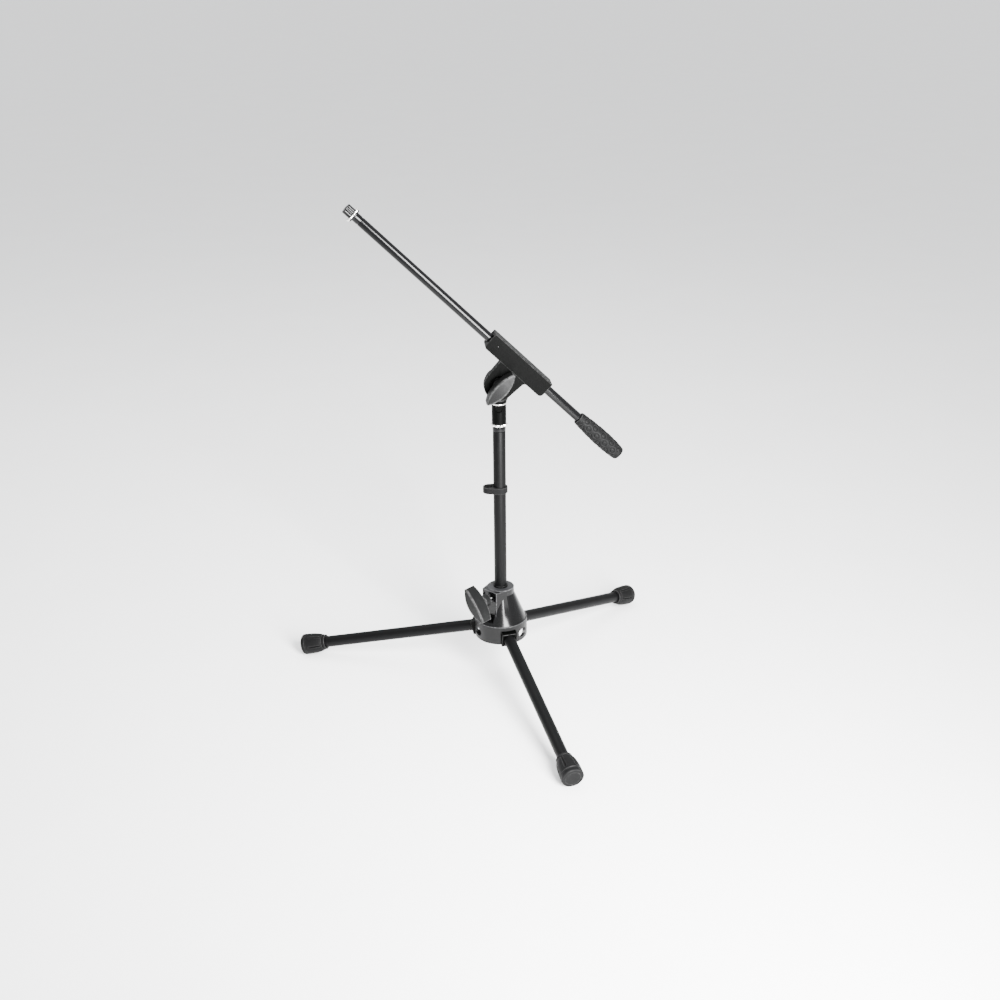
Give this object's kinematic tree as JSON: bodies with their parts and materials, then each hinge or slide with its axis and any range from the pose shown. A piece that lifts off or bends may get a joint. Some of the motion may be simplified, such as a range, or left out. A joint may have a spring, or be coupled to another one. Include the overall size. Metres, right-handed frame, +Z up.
{
  "type": "boom microphone stand",
  "caption": "Low microphone stand with a folding tripod base, a clamped pole, a tilting swivel joint and a one-piece boom with a grip and a threaded end.",
  "frame": {"origin": "on the floor, at the middle of the outer box of the feet; the pole's axis stands at x 48.2 mm, y 34.8 mm", "axes": "+Z up along the pole, -X the side that the boom's threaded end points to, -Y the side of the tilt handle"},
  "size_m": [0.5882, 0.6036, 0.7832],
  "materials": {
    "powder_coat": "satin black powder coat on steel tube, fine orange peel",
    "gloss_enamel": "glossy black enamel on steel",
    "hub_lacquer": "glossy black lacquer on a die casting, satin on the skirt",
    "black_nylon": "moulded black nylon, fine satin texture",
    "grey_nylon": "moulded dark grey nylon, matte",
    "dark_rubber": "dark grey rubber, matte",
    "bright_nickel": "bright nickel plate",
    "zinc_steel": "zinc plated steel",
    "plain_brass": "machined brass",
    "friction_fibre": "pressed friction fibre"
  },
  "bodies": {
    "hub": {"hub_body": "hub_lacquer", "pole_bush": "black_nylon", "leg_a_pin": "zinc_steel", "leg_b_pin": "zinc_steel", "leg_c_pin": "zinc_steel", "clamp_bush": "gloss_enamel", "clamp_shoe": "plain_brass"},
    "leg_a": {"leg_a_knuckle": "black_nylon", "leg_a_tube": "powder_coat", "leg_a_foot": "dark_rubber"},
    "leg_b": {"leg_b_knuckle": "black_nylon", "leg_b_tube": "powder_coat", "leg_b_foot": "dark_rubber"},
    "leg_c": {"leg_c_knuckle": "black_nylon", "leg_c_tube": "powder_coat", "leg_c_foot": "dark_rubber"},
    "pole": {"pole_tube": "powder_coat", "spreader_disc": "black_nylon", "spreader_screw": "zinc_steel", "pole_top_plug": "gloss_enamel"},
    "clamp_screw": {"clamp_wing": "grey_nylon", "clamp_stud": "gloss_enamel"},
    "pole_nut": {"pole_lock_nut": "bright_nickel"},
    "clip": {"cable_clip": "dark_rubber"},
    "swivel": {"swivel_base": "black_nylon", "swivel_ring": "bright_nickel", "tilt_bolt": "zinc_steel", "tilt_friction_disc": "friction_fibre"},
    "tilt_handle": {"tilt_wing": "grey_nylon", "tilt_wing_nut": "plain_brass"},
    "boom_clamp": {"boom_block": "black_nylon", "boom_bush_tip": "black_nylon", "boom_bush_grip": "black_nylon", "block_pin": "gloss_enamel"},
    "boom": {"boom_tube": "gloss_enamel", "boom_ferrule": "gloss_enamel", "boom_adapter": "gloss_enamel", "boom_grip": "dark_rubber"},
    "boom_nut": {"boom_lock_nut": "bright_nickel"}
  },
  "joints": [
    {"name": "leg_a_fold", "type": "hinge", "parent": "hub", "child": "leg_a", "pos_m": [0.01656, 0.04205, 0.0901], "axis": [-0.2233, -0.9748, 0], "range_deg": [0, 76.7]},
    {"name": "leg_b_fold", "type": "hinge", "parent": "hub", "child": "leg_b", "pos_m": [0.07016, 0.0588, 0.0901], "axis": [-0.7385, 0.6743, 0], "range_deg": [0, 76.7]},
    {"name": "leg_c_fold", "type": "hinge", "parent": "hub", "child": "leg_c", "pos_m": [0.0578, 0.00373, 0.0901], "axis": [0.9558, 0.294, 0], "range_deg": [0, 76.7]},
    {"name": "pole_slide", "type": "slide", "parent": "hub", "child": "pole", "axis": [0, 0, 1], "range_m": [0, 0.016]},
    {"name": "clamp_screw_turn", "type": "hinge", "parent": "hub", "child": "clamp_screw", "pos_m": [0.04824, 0.0348, 0.149], "axis": [-0.682, -0.7314, 0], "range_deg": [-180, 180]},
    {"name": "pole_nut_turn", "type": "hinge", "parent": "pole", "child": "pole_nut", "pos_m": [0.04824, 0.0348, 0.4405], "axis": [0, 0, 1], "range_deg": [-180, 180]},
    {"name": "clip_slide", "type": "slide", "parent": "pole", "child": "clip", "axis": [0, 0, 1], "range_m": [-0.15, 0.09]},
    {"name": "boom_pan", "type": "hinge", "parent": "pole", "child": "swivel", "pos_m": [0.04824, 0.0348, 0.46], "axis": [0, 0, 1], "range_deg": [-180, 180]},
    {"name": "tilt_handle_turn", "type": "hinge", "parent": "swivel", "child": "tilt_handle", "pos_m": [0.04824, 0.0348, 0.5065], "axis": [0.0872, -0.9962, 0], "range_deg": [-180, 180]},
    {"name": "boom_tilt", "type": "hinge", "parent": "swivel", "child": "boom_clamp", "pos_m": [0.04824, 0.0348, 0.5065], "axis": [-0.0872, 0.9962, 0], "range_deg": [-104, 40]},
    {"name": "boom_slide", "type": "slide", "parent": "boom_clamp", "child": "boom", "axis": [-0.7142, -0.0625, 0.6972], "range_m": [-0.1, 0.06]},
    {"name": "boom_nut_turn", "type": "hinge", "parent": "boom", "child": "boom_nut", "pos_m": [0.07769, 0.03737, 0.5369], "axis": [-0.7142, -0.0625, 0.6972], "range_deg": [-180, 180]}
  ],
  "couplings": [
    {"joint": "leg_b_fold", "follows": "leg_a_fold", "ratio": 1},
    {"joint": "leg_c_fold", "follows": "leg_a_fold", "ratio": 1},
    {"joint": "pole_slide", "follows": "leg_a_fold", "m_per_rad": 0.0119}
  ]
}
